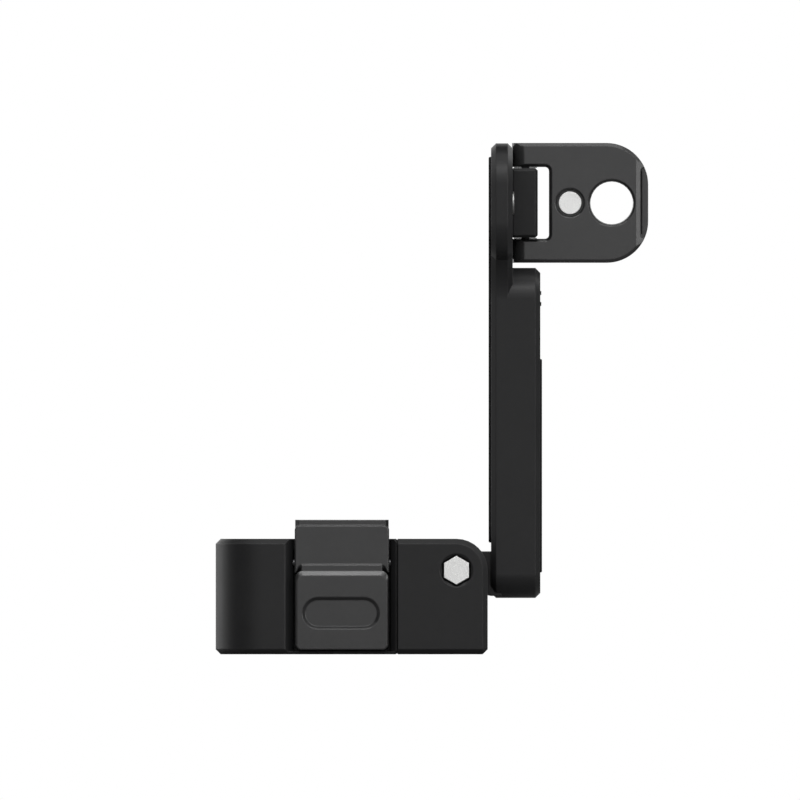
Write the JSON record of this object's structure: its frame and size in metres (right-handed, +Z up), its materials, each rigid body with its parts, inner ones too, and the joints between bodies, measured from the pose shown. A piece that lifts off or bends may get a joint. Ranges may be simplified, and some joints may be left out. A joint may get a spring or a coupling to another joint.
{
  "type": "camera expansion mount",
  "caption": "Folding mount with a quick-release camera seat, sprung front and rear latches, a folding arm and a hinged accessory tab at its head.",
  "frame": {"origin": "middle of the seat's underside", "axes": "+Z up, +X from the seat towards the standing arm, -Y towards the front latch"},
  "size_m": [0.0865, 0.0312, 0.1023],
  "materials": {
    "black_anodised": "fine bead-blasted black anodised",
    "grey_anodised": "fine bead-blasted dark grey anodised",
    "steel": "plain turned steel",
    "silicone": "matt black silicone",
    "brass": "plain"
  },
  "bodies": {
    "seat": {"base_body": "black_anodised", "hinge_block": "black_anodised", "seat_pad": "silicone", "seat_magnet_left": "steel", "seat_magnet_right": "steel", "tripod_insert": "steel", "block_screw_front": "steel", "block_screw_rear": "steel", "pivot_bolt": "steel", "pivot_nut": "steel", "friction_washer_front": "brass", "friction_washer_rear": "brass", "front_latch_pin": "steel", "rear_latch_pin": "steel", "front_latch_spring": "steel", "rear_latch_spring": "steel"},
    "arm": {"arm_bar": "black_anodised", "arm_face_pad": "silicone", "arm_grip_strip": "silicone", "arm_cap_screw": "steel", "knuckle": "black_anodised", "knuckle_screw_low": "steel", "knuckle_screw_high": "steel", "tab_hinge_pin": "steel", "head_disc": "steel"},
    "tab": {"tab_plate": "grey_anodised", "tab_disc": "steel"},
    "front_lever": {"front_latch": "grey_anodised"},
    "rear_lever": {"rear_latch": "grey_anodised"}
  },
  "joints": [
    {"name": "arm_fold", "type": "hinge", "parent": "seat", "child": "arm", "pos_m": [0.02095, 0, 0.0168], "axis": [0, -1, 0], "range_deg": [0, 90]},
    {"name": "tab_fold", "type": "hinge", "parent": "arm", "child": "tab", "pos_m": [0.03474, 0.0098, 0.09028], "axis": [0, 0, -1], "range_deg": [0, 90]},
    {"name": "front_latch_press", "type": "hinge", "parent": "seat", "child": "front_lever", "pos_m": [-0.00196, -0.0124, 0.0183], "axis": [1, 0, 0], "range_deg": [0, 10.5], "stiffness_Nm_per_rad": 0.2, "springref_deg": -11.46, "deforming": ["front_latch_spring"]},
    {"name": "rear_latch_press", "type": "hinge", "parent": "seat", "child": "rear_lever", "pos_m": [-0.00196, 0.0124, 0.0183], "axis": [-1, 0, 0], "range_deg": [0, 10.5], "stiffness_Nm_per_rad": 0.2, "springref_deg": -11.46, "deforming": ["rear_latch_spring"]}
  ]
}
